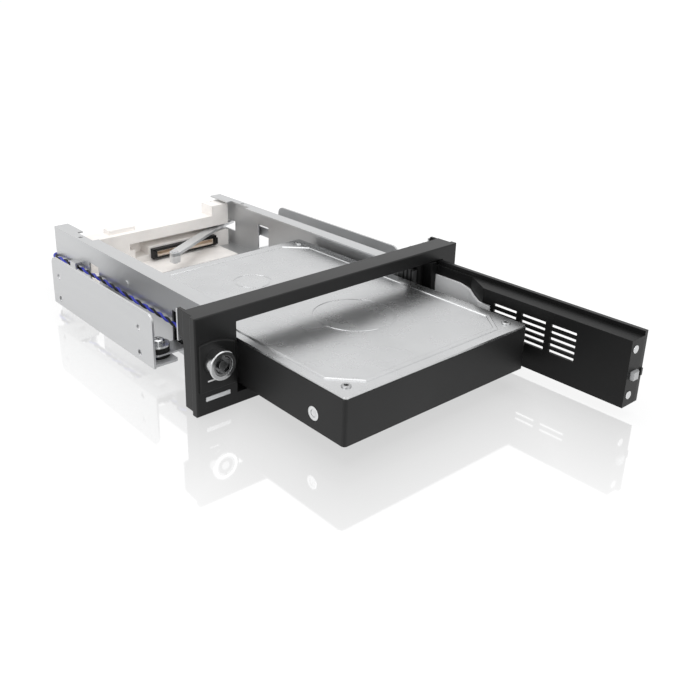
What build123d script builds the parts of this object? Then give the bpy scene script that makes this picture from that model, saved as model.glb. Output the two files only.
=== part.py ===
from build123d import *
from math import atan2, cos, degrees, hypot, radians, sin
import os

# Drive cage for one 5.25 inch bay, with a hinged door and an ejector that pushes a 3.5 inch drive out.
# Millimetres. X runs to the right, Y back into the bay and Z up. Everything is drawn from the bezel's
# front face at Y 0, then moved so that the origin is the middle of the bezel's underside.

# Bezel: a face plate with a shallower, slightly narrower skirt behind it
bezel_width = 149.4
bezel_height = 42.4
bezel_bottom = -0.4
bezel_wall = 2.6
bezel_side_wall = 1.6
plate_depth = 3.3
skirt_inset = 1.3
skirt_lift = 0.4
rim_depth = 10.4
ear_depth = 14.3
ear_bottom = 28.0
ear_inset = 0.3
edge_round = 0.6
opening_left = -55.2
opening_right = 65.3
opening_bottom = 5.0
opening_top = 36.1
column_wall = 1.8
rail_wall = 1.6
boss_r = 1.8
pilot_r = 0.9
pin_depth = 3.0

# Raised panel round the lock
panel_proud = 0.8
panel_left_margin = 1.4
panel_right_margin = 1.2
panel_bottom = 10.0
panel_top = 31.0
panel_left_top = 30.4
panel_right_top = 28.4

# Drive, a low 3.5 inch one, shown pulled part of the way out
drive_width = 101.6
drive_length = 147.0
drive_height = 20.2
drive_centre_x = -2.6
drive_bottom = 8.0
drive_out = 61.5
drive_wall = 3.2
drive_corner = 1.5
lid_thickness = 1.0
lid_ridge = 0.5
lid_bead = 1.8
lid_sink = 0.3
lid_groove = 1.0
lid_screw_inset = 6.4
lid_screw_r = 1.9
lid_screw_head = 0.6
lid_socket_r = 0.9
drive_hole_r = 1.5
drive_hole_height = 6.35
drive_holes_from_rear = (28.5, 70.1, 130.1)
spot_face_r = 2.9
spot_face_depth = 0.3
drive_board_side = 9.0
drive_board_front = 74.0
drive_board_rear = 7.6
drive_board_low = 0.2
drive_board_high = 1.8
plug_offset = 20.68
plug_height = 3.5
plug_width = 42.0
plug_thickness = 1.2

# Folded steel cage
sheet = 0.8
cage_width = 109.0
cage_bottom = 5.6
cage_top = 34.2
cage_front = ear_depth
cage_rear = 170.0
left_flange = 8.0
right_flange = 7.0
notch_start = 134.0
notch_end = 152.0
notch_depth = 3.2
runner_x = 38.0
runner_width = 5.0
runner_gap = 0.2
ear_outer = 73.3
ear_plate_bottom = 27.8
ear_plate_top = 39.5
ear_tip_top = 41.4
ear_tip_width = 2.3
ear_screw_x = (60.0, 69.0)
ear_screw_z = 37.9
ear_screw_head_r = 1.5
ear_screw_head = 1.2
ear_gap_start = 60.8
ear_gap_end = 67.4
apron_slot_r = 4.0
apron_slot_length = 24.0
wall_dimple = (90.6, 24.4)
wall_dimple_r = 1.8

# Side plates, drilled for a 5.25 inch bay, and the rubber dampers that carry the cage on them
bay_width = 146.0
side_sheet = 1.0
side_front = 35.5
side_length = 98.5
side_bottom = 6.5
side_top = 31.0
side_corner = 4.0
bay_hole_y = 47.4
bay_hole_spacing = 79.25
bay_hole_low = 10.0
bay_hole_high = 21.84
bay_hole_r = 1.5
foot_width = 13.0
foot_length = 20.5
foot_inset = 1.0
tab_width = 10.0
tab_length = 15.5
tab_z = 9.0
tab_front_y = 45.0
tab_rear_y = 125.0
damper_inset = 7.8
damper_r = 5.0
damper_neck_r = 3.0
damper_top = 2.7
damper_screw_r = 1.5
washer_r = 5.2
washer_thickness = 0.8
damper_head_r = 2.9
damper_head_height = 2.1
clinch_r = 2.8
clinch_height = 1.6

# Door, standing open at a right angle. Its inner frame is a box 11 mm deep that ramps down to a
# thin skin near the hinge
hinge_x = 57.0
hinge_y = 8.0
hinge_pin_r = 1.5
hinge_play = 0.05
barrel_r = 3.1
leaf_front = -0.9
leaf_thickness = 3.0
door_gap = 0.3
door_panel_thickness = 2.4
door_length = 119.7
door_bottom = 5.3
door_top = 35.8
box_depth = 8.6
box_wall = 1.6
box_skin = 1.2
box_top = 34.0
ramp_front = -33.5
ramp_rear = -21.0
vent_length = 11.9
vent_height = 1.55
vent_pitch = 2.8
vent_rows = 5
vent_columns = 3
vent_column_pitch = 14.5
vent_first = -45.6
vent_middle_z = 22.6
intake_far = -82.0
intake_near = -28.2
intake_bottom = 8.8
intake_top = 27.0
intake_bevel = 3.0
door_screw_x = 57.0
door_screw_z = (10.2, 29.8)
door_screw_r = 1.7
door_screw_head = 0.4
bolt_left = 56.4
bolt_width = 4.4
bolt_height = 3.4
bolt_z = 18.6
bolt_proud = 1.5
bolt_length = 7.5
bolt_bevel = 1.0
bolt_play = 0.15
spring_length = 6.0
spring_r = 1.3
nub_low = 16.8
nub_high = 19.9
nub_proud = 0.5

# Ejector: strip in the door, push rod outside the right wall and lever at the rear
strip_thickness = 1.0
strip_gap = 0.2
strip_bottom = 19.6
strip_top = 29.5
strip_neck_top = 26.4
strip_neck_bottom = 20.8
strip_front = -37.4
strip_end_top = 26.8
strip_bend_r = 2.0
strip_notch = 0.5
strip_tail = 17.6
crank_x = 62.0
crank_y = 20.0
crank_pin_r = 1.3
crank_lug_r = 2.6
door_swing = 18.0
rod_travel = 6.0
rod_x = 58.2
rod_thickness = 1.2
rod_bottom = 16.0
rod_top = 21.4
rod_tab_z = 19.0
rod_tab_length = 2.6
crank_play = 0.2
guide_play = 0.25
guide_length = 8.0
guide_y = (62.0, 138.0)
guide_wall = 1.6
lever_x = 46.5
lever_y = 161.0
lever_length = 56.1
lever_angle = 30.4
lever_width = 6.0
lever_thickness = 1.6
lever_z = 16.8
lever_boss_r = 4.2
lever_pin_r = 1.6
tail_pin_r = 1.2
roller_r = 3.0
roller_height = 3.8
roller_pin_r = 1.2
running_play = 0.08

# Rear frame that holds the socket board
holder_front = 156.0
holder_depth = 11.2
holder_left = -53.4
holder_right = 50.5
holder_top = 26.0
post_left = 39.0
post_top = 32.0
block_left = -27.0
block_right = -11.0
block_rise = 2.2
apron_front = 134.0
apron_left = -45.0
apron_right = 42.0
apron_thickness = 1.1
lever_slot_bottom = 15.8
lever_slot_top = 19.6
lever_slot_depth = 9.5
board_thickness = 1.6
board_left = -12.0
board_right = 48.0
board_bottom = 7.2
board_top = 25.0
socket_width = 43.8
socket_height = 5.8
socket_reach = 2.5
power_socket = (0.0, 24.0)
data_socket = (29.0, 42.0)
rear_socket_bottom = 9.4
rear_socket_top = 16.0
rear_socket_depth = 7.6
header_inset = 0.6
header_width = 5.4
header_depth = 4.2
header_bottom = 12.0
header_top = 18.0

# Lock
lock_inset = 9.1
lock_z = 22.1
lock_reach = 5.8
lock_r = 6.15
lock_round = 0.5
lock_shank_r = 5.1
plug_r = 4.2
plug_sunk = 0.3
lock_rear = 7.6
keyway_outer = 3.5
keyway_inner = 1.9
keyway_depth = 3.0
keyway_notch = 1.4
cam_length = 11.2
cam_width = 7.0
cam_thickness = 1.2
cam_gap = 0.15
cam_square = 4.6
cam_screw_r = 3.2
cam_screw_head = 1.15
nut_across = 12.0
nut_thickness = 2.6

# Status light
window_inset = 4.2
window_width = 11.8
window_bottom = 5.5
window_top = 7.5
window_play = 0.1
window_flange = 0.7
led_board_gap = 4.8
led_board_thickness = 1.0
led_board_bottom = 2.2
led_board_top = 10.2
led_size = 2.8
led_depth = 2.4

# Drive guide on the right of the opening
guide_left = 50.0
guide_thickness = 2.2
guide_front = 4.0
guide_bottom = 7.2
guide_top = 32.2
guide_pad_bottom = 10.0
guide_pad_top = 20.0
guide_pad_start = 18.0
guide_pad_end = 34.0
guide_groove = 1.0
guide_groove_depth = 0.6

# Wires
wire_r = 1.1
wire_clip_y = 141.0
wire_clip_length = 6.0
wire_clip_reach = 4.2

# Worked out from the sizes above
half_bezel = bezel_width / 2
bezel_top = bezel_bottom + bezel_height
skirt_half = half_bezel - skirt_inset
column_left = -skirt_half + bezel_side_wall
column_right = opening_left - column_wall
panel_left = -half_bezel + panel_left_margin
panel_right = opening_left - panel_right_margin
lock_x = -half_bezel + lock_inset
window_left = -half_bezel + window_inset
window_right = window_left + window_width
half_cage = cage_width / 2
half_bay = bay_width / 2
damper_x = half_bay - damper_inset
cage_inner = half_cage - sheet
floor_top = cage_bottom + sheet
drive_left = drive_centre_x - drive_width / 2
drive_right = drive_centre_x + drive_width / 2
drive_front = -drive_out
drive_rear = drive_front + drive_length
drive_top = drive_bottom + drive_height
socket_x = drive_centre_x + plug_offset
socket_z = drive_bottom + plug_height
door_face = hinge_x + hinge_y
door_inner = door_face - door_panel_thickness
box_left = door_inner - box_depth
door_near = hinge_y + (opening_right - door_gap - hinge_x)
door_far = door_near - door_length
skin_left = door_inner - box_skin
strip_right = skin_left - strip_gap
strip_left = strip_right - strip_thickness
strip_notch_x = box_left + strip_gap + strip_thickness / 2
crank_swung_x = hinge_x + (crank_x - hinge_x) * cos(radians(door_swing)) + (crank_y - hinge_y) * sin(
    radians(door_swing))
crank_swung_y = hinge_y + (crank_y - hinge_y) * cos(radians(door_swing)) - (crank_x - hinge_x) * sin(
    radians(door_swing))
rod_tab_front = crank_swung_y + crank_pin_r + crank_play + rod_travel
holder_rear = holder_front + holder_depth
board_rear = holder_rear + board_thickness
side_rear = side_front + side_length
foot_top = side_bottom + side_sheet
tab_top = tab_z + sheet
washer_z = tab_top + damper_top
head_z = washer_z + washer_thickness
lever_tail_r = rod_travel / 2 / sin(radians(lever_angle / 2))
tail_angle = lever_angle / 2
roller_x = lever_x - lever_length * cos(radians(lever_angle))
roller_y = lever_y - lever_length * sin(radians(lever_angle))
tail_x = lever_x + lever_tail_r * cos(radians(tail_angle))
tail_y = lever_y + rod_travel / 2
window_height = tab_length - sheet


def block(x0, x1, y0, y1, z0, z1):
    """Box between two corners."""
    size = (abs(x1 - x0), abs(y1 - y0), abs(z1 - z0))
    return Pos((x0 + x1) / 2, (y0 + y1) / 2, (z0 + z1) / 2) * Box(*size)


def upright(x, y, r, z0, z1):
    """Round bar along Z."""
    return Pos(x, y, (z0 + z1) / 2) * Cylinder(r, z1 - z0)


def along_y(x, z, r, y0, y1):
    """Round bar along Y."""
    return Pos(x, (y0 + y1) / 2, z) * Rot(90, 0, 0) * Cylinder(r, y1 - y0)


def along_x(y, z, r, x0, x1):
    """Round bar along X."""
    return Pos((x0 + x1) / 2, y, z) * Rot(0, 90, 0) * Cylinder(r, abs(x1 - x0))


def rounded(shape, direction, radius):
    """The same solid with its edges along one axis rounded."""
    return fillet(shape.edges().filter_by(direction), radius)


def plate_xy(points, z0, z1):
    """Flat plate of a polygon outline, between two heights."""
    return Pos(0, 0, z0) * extrude(make_face(Polyline(*points, close=True)), z1 - z0)


def plate_yz(points, x0, x1):
    """Upright plate: the outline is given as (y, z) points."""
    face = Plane.YZ * make_face(Polyline(*points, close=True))
    return Pos(x0, 0, 0) * extrude(face, x1 - x0)


def plate_xz(points, y0, y1):
    """Front-facing plate: the outline is given as (x, z) points."""
    face = Plane.XZ * make_face(Polyline(*points, close=True))
    return Pos(0, y1, 0) * extrude(face, y1 - y0)


def slot_xy(start, end, radius, z0, z1):
    """Round-ended bar between two points, seen from above."""
    run = hypot(end[0] - start[0], end[1] - start[1])
    turn = degrees(atan2(end[1] - start[1], end[0] - start[0]))
    middle = ((start[0] + end[0]) / 2, (start[1] + end[1]) / 2)
    face = Pos(*middle) * Rot(0, 0, turn) * SlotCenterToCenter(run, 2 * radius)
    return Pos(0, 0, z0) * extrude(face, z1 - z0)


def bezel():
    """Moulded front frame: face plate, skirt, two rear ears and the lock column on its left."""
    body = block(-half_bezel, half_bezel, 0, plate_depth, bezel_bottom, bezel_top)
    body = fillet(body.faces().sort_by(Axis.Y)[0].edges(), edge_round)
    body += block(-skirt_half, skirt_half, plate_depth - 1, rim_depth, bezel_bottom, bezel_top)
    slant = ear_bottom + ear_depth - rim_depth
    ear = [(rim_depth - 1, ear_bottom), (rim_depth, ear_bottom), (ear_depth, slant),
           (ear_depth, bezel_top), (rim_depth - 1, bezel_top)]
    for side in (-1, 1):
        inner = side * (skirt_half - bezel_side_wall)
        outer = side * (skirt_half - ear_inset)
        body -= block(inner, side * half_bezel, plate_depth, rim_depth + 1,
                      bezel_bottom - 1, bezel_bottom + skirt_lift)
        body += plate_yz(ear, min(inner, outer), max(inner, outer))
    body -= block(opening_left, opening_right, -1, rim_depth + 1, opening_bottom, opening_top)
    body -= block(opening_right - 1, skirt_half - bezel_side_wall, bezel_wall, rim_depth + 1,
                  opening_bottom, opening_top)
    low = bezel_bottom + rail_wall
    high = bezel_top - rail_wall
    body -= block(column_left, column_right, bezel_wall, rim_depth + 1, low, high)
    rail_end = min(ear_screw_x) - 2 * boss_r - hinge_pin_r - rail_wall
    body -= block(-rail_end, rail_end, bezel_wall, rim_depth + 1, opening_top + rail_wall, high)
    body -= block(-rail_end, rail_end, bezel_wall, rim_depth + 1, low, opening_bottom - rail_wall)
    body += lock_panel()
    cam_y = lock_rear + cam_gap
    cam_room = 0.6
    cam_sweep = hypot(cam_length, cam_width / 2) ** 2 - (column_right - lock_x) ** 2
    body -= block(column_right - 1, opening_left + 1, cam_y - cam_room, rim_depth + 1,
                  lock_z - cam_sweep ** 0.5 - cam_room, lock_z + cam_width / 2 + cam_room)
    for side in (-1, 1):
        for x in ear_screw_x:
            body += along_y(side * x, ear_screw_z, boss_r, bezel_wall - 0.1, ear_depth)
            body -= along_y(side * x, ear_screw_z, pilot_r, rim_depth - 2, ear_depth + 1)
    body -= upright(hinge_x, hinge_y, hinge_pin_r, opening_top - 1, opening_top + pin_depth)
    body -= upright(hinge_x, hinge_y, hinge_pin_r, opening_bottom - pin_depth, opening_bottom + 1)
    body -= along_y(lock_x, lock_z, lock_shank_r, -panel_proud - 1, bezel_wall + 1)
    body -= block(window_left, window_right, -1, bezel_wall + 1, window_bottom, window_top)
    return body


def lock_panel():
    """Low raised field round the lock, with an arched top edge and a rounded rim."""
    top = ThreePointArc((panel_left, panel_left_top), ((panel_left + panel_right) / 2, panel_top),
                        (panel_right, panel_right_top))
    rest = Polyline((panel_right, panel_right_top), (panel_right, panel_bottom),
                    (panel_left, panel_bottom), (panel_left, panel_left_top))
    face = Plane.XZ * make_face([top, rest])
    root = 0.5
    field = Pos(0, root, 0) * extrude(face, panel_proud + root)
    return fillet(field.faces().sort_by(Axis.Y)[0].edges(), panel_proud / 2)


def cage():
    """Folded channel: floor, two walls with turned-in flanges, ears at the front and lanced tabs."""
    body = block(-half_cage, half_cage, cage_front, cage_rear, cage_bottom, cage_top)
    body -= block(-cage_inner, cage_inner, cage_front - 1, cage_rear + 1, floor_top, cage_top - sheet)
    body -= block(-half_cage + left_flange, half_cage - right_flange, cage_front - 1, cage_rear + 1,
                  floor_top, cage_top + 1)
    for side, flange in ((-1, left_flange), (1, right_flange)):
        lip = side * (half_cage - flange)
        low = cage_top - 2 * sheet
        body -= block(lip - side, lip + side * notch_depth, notch_start, notch_end, low, cage_top + 1)
        notch_hole_r = 1.1
        body -= upright(side * (half_cage - 2.4), (notch_start + notch_end) / 2, notch_hole_r, low,
                        cage_top + 1)
        body += cage_ear(side)
        for y in (tab_front_y, tab_rear_y):
            body -= block(side * (cage_inner - 1), side * (half_cage + 1), y - tab_width / 2,
                          y + tab_width / 2, tab_top, tab_top + window_height)
            body += cage_tab(side, y)
    for side in (-1, 1):
        x = side * runner_x
        body += block(x - runner_width / 2, x + runner_width / 2, 24, apron_front - 4,
                      floor_top, drive_bottom - runner_gap)
    for x in (-22.0, 0.0, 22.0):
        for y in (40.0, 84.0):
            body -= slot_xy((x, y), (x, y + apron_slot_length), apron_slot_r, cage_bottom - 1, floor_top + 1)
    body -= block(cage_inner - 1, half_cage + 1, lever_y - 8.0, cage_rear - 1.6,
                  lever_slot_bottom - 1.2, lever_slot_top + 1.0)
    body += wire_clip()
    body += along_x(*wall_dimple, wall_dimple_r, -half_cage - 0.5, -half_cage + 0.1)
    return body


def cage_ear(side):
    """Front flange turned outward, which the bezel is screwed to."""
    inner = side * (half_cage - 0.4)
    step = side * (half_cage + 2.5)
    outer = side * ear_outer
    tip = side * (ear_outer - ear_tip_width)
    outline = [(inner, ear_plate_bottom), (outer, ear_plate_bottom), (outer, ear_tip_top),
               (tip, ear_tip_top), (tip, ear_plate_top), (step, ear_plate_top), (step, cage_top),
               (inner, cage_top)]
    ear = plate_xz(outline, cage_front, cage_front + sheet)
    if side > 0:
        ear -= block(ear_gap_start, ear_gap_end, cage_front - 1, cage_front + sheet + 1,
                     ear_plate_bottom - 1, door_top + 0.4)
    for x in ear_screw_x:
        ear -= along_y(side * x, ear_screw_z, pilot_r + 0.1, cage_front - 1, cage_front + sheet + 1)
    return ear


def cage_tab(side, y):
    """Tab lanced out of a wall and bent flat, with the damper's hole."""
    root = side * cage_inner
    tip = side * (half_cage + tab_length)
    tab = block(root, tip, y - tab_width / 2, y + tab_width / 2, tab_z, tab_top)
    tip_round = 3.0
    corners = tab.edges().filter_by(Axis.Z).sort_by(Axis.X)
    corners = corners[-2:] if side > 0 else corners[:2]
    tab = fillet(corners, tip_round)
    return tab - upright(side * damper_x, y, damper_neck_r, tab_z - 1, tab_top + 1)


def wire_clip():
    """Small finger lanced out of the left wall, over the wires."""
    wall = -half_cage
    outer = wall - wire_clip_reach
    y0 = wire_clip_y - wire_clip_length / 2
    y1 = wire_clip_y + wire_clip_length / 2
    top = 22.6
    finger = block(wall + 0.2, outer, y0, y1, top - sheet, top)
    return finger + block(outer, outer + sheet, y0, y1, top - 5.4, top)


def side_plate(side):
    """Mounting plate with two feet turned in under the dampers."""
    outer = side * half_bay
    inner = side * (half_bay - side_sheet)
    plate = block(inner, outer, side_front, side_rear, side_bottom, side_top)
    top_corners = plate.edges().filter_by(Axis.X).group_by(Axis.Z)[-1]
    plate = fillet(top_corners, side_corner)
    for y in (side_front + foot_inset, side_rear - foot_inset - foot_length):
        foot = block(outer, side * (half_bay - foot_width), y, y + foot_length, side_bottom, foot_top)
        tips = foot.edges().filter_by(Axis.Z).sort_by(Axis.X)
        tips = tips[:2] if side > 0 else tips[-2:]
        plate += fillet(tips, 1.5)
    for y in (tab_front_y, tab_rear_y):
        plate -= upright(side * damper_x, y, damper_screw_r, side_bottom - 1, foot_top + 1)
    for y in (bay_hole_y, bay_hole_y + bay_hole_spacing):
        for z in (bay_hole_low, bay_hole_high):
            plate -= along_x(y, z, bay_hole_r, inner - side, outer + side)
    return plate


def damper_places():
    """Middle of each damper."""
    return [(side * damper_x, y) for side in (-1, 1) for y in (tab_front_y, tab_rear_y)]


def dampers():
    """Rubber bushes, a disc under and over each cage tab and a neck through it."""
    pieces = []
    for x, y in damper_places():
        bush = upright(x, y, damper_r, foot_top, tab_z)
        bush += upright(x, y, damper_neck_r, tab_z, tab_top)
        bush += upright(x, y, damper_r, tab_top, washer_z)
        pieces.append(bush - upright(x, y, damper_screw_r, foot_top - 1, washer_z + 1))
    return pieces


def damper_washers():
    """Steel washer on each damper."""
    pieces = []
    for x, y in damper_places():
        ring = upright(x, y, washer_r, washer_z, head_z)
        pieces.append(ring - upright(x, y, damper_screw_r, washer_z - 1, head_z + 1))
    return pieces


def damper_screws():
    """Pan-head screw through each damper into the clinch nut below."""
    pieces = []
    for x, y in damper_places():
        head = upright(x, y, damper_head_r, head_z, head_z + damper_head_height)
        head = fillet(head.edges().sort_by(Axis.Z)[-1], 0.9)
        head -= block(x - 2.0, x + 2.0, y - 0.4, y + 0.4, head_z + 1.2, head_z + 4)
        head -= block(x - 0.4, x + 0.4, y - 2.0, y + 2.0, head_z + 1.2, head_z + 4)
        pieces.append(head + upright(x, y, damper_screw_r, side_bottom - clinch_height, head_z))
    return pieces


def clinch_nuts():
    """Round nut pressed into the underside of each foot."""
    pieces = []
    for x, y in damper_places():
        nut = upright(x, y, clinch_r, side_bottom - clinch_height, side_bottom)
        pieces.append(nut - upright(x, y, damper_screw_r, side_bottom - 5, side_bottom + 1))
    return pieces


def bezel_screws():
    """Screws from behind the cage ears into the bezel's bosses."""
    pieces = []
    for side in (-1, 1):
        for x in ear_screw_x:
            back = cage_front + sheet
            head = along_y(side * x, ear_screw_z, ear_screw_head_r, back, back + ear_screw_head)
            pieces.append(head + along_y(side * x, ear_screw_z, pilot_r, rim_depth - 1.5, back))
    return pieces


def drive_guide():
    """Black guide that fills the gap between the cage's right wall and the drive's path."""
    right = guide_left + guide_thickness
    jamb = block(guide_left, right, guide_front, cage_front - 0.6, guide_bottom, guide_top)
    for count in range(3):
        y = guide_front + guide_groove + count * 2.4 * guide_groove
        jamb -= block(guide_left - 1, guide_left + guide_groove_depth, y, y + guide_groove, 0, guide_top + 1)
    jamb += block(guide_left, right, cage_front - 0.7, guide_pad_end, guide_pad_bottom, guide_pad_top)
    jamb += block(right - 0.1, cage_inner, guide_pad_start, guide_pad_end, guide_pad_bottom, guide_pad_top)
    return jamb


def hinge_pins():
    """Two short pins on one axis, one in each rail of the bezel."""
    reach = 3.2
    end = pin_depth - 0.1
    top = upright(hinge_x, hinge_y, hinge_pin_r, door_top - reach, opening_top + end)
    low = upright(hinge_x, hinge_y, hinge_pin_r, opening_bottom - end, door_bottom + reach)
    return [top, low]


def vent_places():
    """Middle of each slot in the door."""
    places = []
    for column in range(vent_columns):
        y = vent_first - column * vent_column_pitch
        for row in range(vent_rows):
            places.append((y, vent_middle_z + (row - (vent_rows - 1) / 2) * vent_pitch))
    return places


def cut_vents(shape, x0, x1):
    """Vent slots through an upright plate."""
    for y, z in vent_places():
        shape -= block(x0, x1, y - vent_length / 2, y + vent_length / 2,
                       z - vent_height / 2, z + vent_height / 2)
    return shape


def door_panel():
    """Outer face of the door, with a bevelled intake in front of the vent slots."""
    panel = block(door_inner, door_face, door_far, door_near, door_bottom, door_top)
    panel = fillet(panel.faces().sort_by(Axis.X)[-1].edges(), edge_round)
    step = 1.0
    slope = intake_bevel / door_panel_thickness * step
    intake = [(door_inner - step, intake_far), (door_inner - step, intake_near - slope),
              (door_face + step, intake_near + intake_bevel + slope), (door_face + step, intake_far)]
    panel -= plate_xy(intake, intake_bottom, intake_top)
    nub_width = 1.2
    return panel + block(door_face - edge_round - nub_width, door_face - edge_round,
                         door_far - nub_proud, door_far + 1, nub_low, nub_high)


def door_tray():
    """Inner frame of the door: a box that ramps down to a skin, and the hinge leaf and barrel."""
    rise = (skin_left - box_left) / (ramp_rear - ramp_front)
    shift = box_skin * hypot(1, rise)
    near = hinge_y + barrel_r
    outline = [(box_left, door_far), (box_left, ramp_front), (skin_left, ramp_rear), (skin_left, near),
               (door_inner, near), (door_inner, door_far)]
    tray = plate_xy(outline, door_bottom, box_top)
    inner_front = ramp_front - (shift - box_skin) / rise
    inner_rear = inner_front + (door_inner + 1 - box_left - box_skin) / rise
    hollow = [(box_left + box_skin, door_far + box_wall), (box_left + box_skin, inner_front),
              (door_inner + 1, inner_rear), (door_inner + 1, door_far + box_wall)]
    tray -= plate_xy(hollow, door_bottom + box_wall, box_top - box_wall)
    tray -= block(box_left - 1, strip_notch_x + strip_thickness / 2 + strip_gap, strip_front - strip_notch,
                  ramp_front + 2.5, strip_bottom - strip_notch, strip_end_top + strip_notch)
    tray = cut_vents(tray, box_left - 1, box_left + box_skin + 1) + hinge_leaf()
    tray -= upright(hinge_x, hinge_y, hinge_pin_r + hinge_play, door_bottom - 1, door_top + 1)
    left, right, low, high = bolt_window(bolt_play)
    tray -= block(left, right, door_far - 1, door_far + box_wall + 1, low, high)
    rail = 1.2
    rail_end = door_far + bolt_length + spring_length - bolt_proud
    for z in (low - rail, high):
        tray += block(box_left + box_skin - 0.1, door_inner, door_far, rail_end, z, z + rail)
    return tray + block(box_left + box_skin - 0.1, door_inner, rail_end, rail_end + rail,
                        low - rail, high + rail)


def hinge_leaf():
    """Barrel and flat leaf on the hinge's axis, joined to the skin over and under the strip."""
    near = hinge_y + barrel_r
    leaf = upright(hinge_x, hinge_y, barrel_r, door_bottom, door_top)
    leaf += block(hinge_x, hinge_x + leaf_thickness, leaf_front, near, door_bottom, door_top)
    clear = 0.4
    leaf += block(hinge_x, door_inner, leaf_front, near, door_bottom, strip_bottom - clear)
    return leaf + block(hinge_x, door_inner, leaf_front, near, strip_top + clear, box_top)


def bolt_window(play):
    """Left, right, lower and upper sides of the latch bolt's seat."""
    half = bolt_height / 2 + play
    return bolt_left - play, bolt_left + bolt_width + play, bolt_z - half, bolt_z + half


def latch_bolt():
    """Spring bolt in the door's free end, bevelled on its closing side."""
    left, right, low, high = bolt_window(0)
    tip = door_far - bolt_proud
    bolt = block(left, right, tip, tip + bolt_length, low, high)
    nose = bolt.faces().sort_by(Axis.Y)[0].edges().sort_by(Axis.X)
    return chamfer(nose[-1], bolt_bevel)


def latch_spring():
    """Light spring behind the bolt."""
    start = door_far - bolt_proud + bolt_length
    return along_y(bolt_left + bolt_width / 2, bolt_z, spring_r, start, start + spring_length)


def door_screws():
    """Two screws that hold the inner frame to the outer panel at its free end."""
    pieces = []
    for z in door_screw_z:
        head = along_y(door_screw_x, z, door_screw_r, door_far - door_screw_head, door_far)
        pieces.append(fillet(head.edges().sort_by(Axis.Y)[0], door_screw_head / 2))
    return pieces


def door_strip():
    """Steel strip on the inside of the door: it follows the ramp in front and is the crank behind."""
    middle = (strip_left + strip_right) / 2
    rise = (skin_left - box_left) / (ramp_rear - ramp_front)
    away = (strip_gap + strip_thickness / 2) * hypot(1, rise) - (skin_left - middle)
    bend_rear = ramp_rear + away / rise
    bend_front = bend_rear - (middle - strip_notch_x) / rise
    line = FilletPolyline((strip_notch_x, strip_front), (strip_notch_x, bend_front), (middle, bend_rear),
                          (middle, strip_tail), radius=strip_bend_r)
    ribbon = extrude(trace(line, strip_thickness), strip_top)
    strip = ribbon & strip_outline()
    lug_low = strip_neck_top - 1.4
    lug = block(strip_left, strip_right, strip_tail - 1.0, crank_y, lug_low, strip_neck_top)
    lug += upright(crank_x, crank_y, crank_lug_r, lug_low, strip_neck_top)
    strip += lug
    return strip - upright(crank_x, crank_y, crank_pin_r, lug_low - 1, strip_neck_top + 1)


def strip_outline():
    """Side outline of the strip, as thick as the door: its top edge falls in an S along the ramp."""
    neck_start = 6.0
    swan_start = -13.0
    edges = Polyline((swan_start, strip_top), (neck_start, strip_top), (neck_start + 3, strip_neck_top),
                     (strip_tail, strip_neck_top), (strip_tail, strip_neck_bottom),
                     (neck_start - 1, strip_neck_bottom), (neck_start - 3, strip_bottom),
                     (strip_front, strip_bottom), (strip_front, strip_end_top), (ramp_front, strip_end_top))
    swan = Spline((ramp_front, strip_end_top), (-24.4, strip_end_top + 0.6), (-18.0, strip_top - 0.6),
                  (swan_start, strip_top), tangents=[(1, 0), (1, 0)])
    face = Plane.YZ * make_face([edges, swan])
    return Pos(box_left - 1, 0, 0) * extrude(face, door_inner - box_left + 1)


def crank_pin():
    """Pin that hangs from the strip's lug, in front of the push rod's tab."""
    head_r = crank_pin_r + 0.8
    head = 0.6
    pin = upright(crank_x, crank_y, crank_pin_r, rod_tab_z - 0.6, strip_neck_top)
    return pin + upright(crank_x, crank_y, head_r, strip_neck_top, strip_neck_top + head)


def push_rod():
    """Flat rod outside the right wall: a tab for the crank's pin in front and a slotted one behind."""
    tab_top_z = rod_tab_z + rod_thickness
    right = rod_x + rod_thickness
    front = rod_tab_front
    slim = front + 8.0
    rear = tail_y + 4.0
    bar = block(rod_x, right, front, rear, rod_bottom, rod_top)
    bar -= block(rod_x - 1, right + 1, front - 1, slim, rod_bottom - 1, rod_tab_z)
    bar -= block(rod_x - 1, right + 1, front - 1, slim, tab_top_z, rod_top + 1)
    bar -= block(rod_x - 1, right + 1, tail_y - 6.0, rear + 1, rod_bottom - 1, rod_tab_z)
    bar += block(rod_x, crank_swung_x + crank_pin_r, front, front + rod_tab_length, rod_tab_z, tab_top_z)
    bar += block(half_cage + 0.5, right, tail_y - 4.0, rear, rod_tab_z, tab_top_z)
    bar -= slot_xy((tail_x - 0.2, tail_y), (tail_x + 0.5, tail_y), tail_pin_r + 0.15,
                   rod_tab_z - 1, tab_top_z + 1)
    return bar


def rod_guides():
    """Plastic guides that carry the push rod on the right wall."""
    pieces = []
    for y in guide_y:
        guide = block(half_cage, rod_x + rod_thickness + guide_play + guide_wall, y, y + guide_length,
                      rod_bottom - guide_play - guide_wall, rod_top + guide_play + guide_wall)
        guide -= block(rod_x - guide_play, rod_x + rod_thickness + guide_play, y - 1,
                       y + guide_length + 1, rod_bottom - guide_play, rod_top + guide_play)
        pieces.append(guide)
    return pieces


def eject_lever():
    """Flat lever on an upright pin: its long arm pushes the drive, its tail takes the rod."""
    top = lever_z + lever_thickness
    lever = slot_xy((lever_x, lever_y), (roller_x, roller_y), lever_width / 2, lever_z, top)
    lever += upright(lever_x, lever_y, lever_boss_r, lever_z, top)
    lever += slot_xy((lever_x, lever_y), (tail_x, tail_y), 2.6, lever_z, top)
    lever -= upright(lever_x, lever_y, lever_pin_r + running_play, lever_z - 1, top + 1)
    lever -= upright(roller_x, roller_y, roller_pin_r, lever_z - 1, top + 1)
    return lever - upright(tail_x, tail_y, tail_pin_r, lever_z - 1, top + 1)


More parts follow.
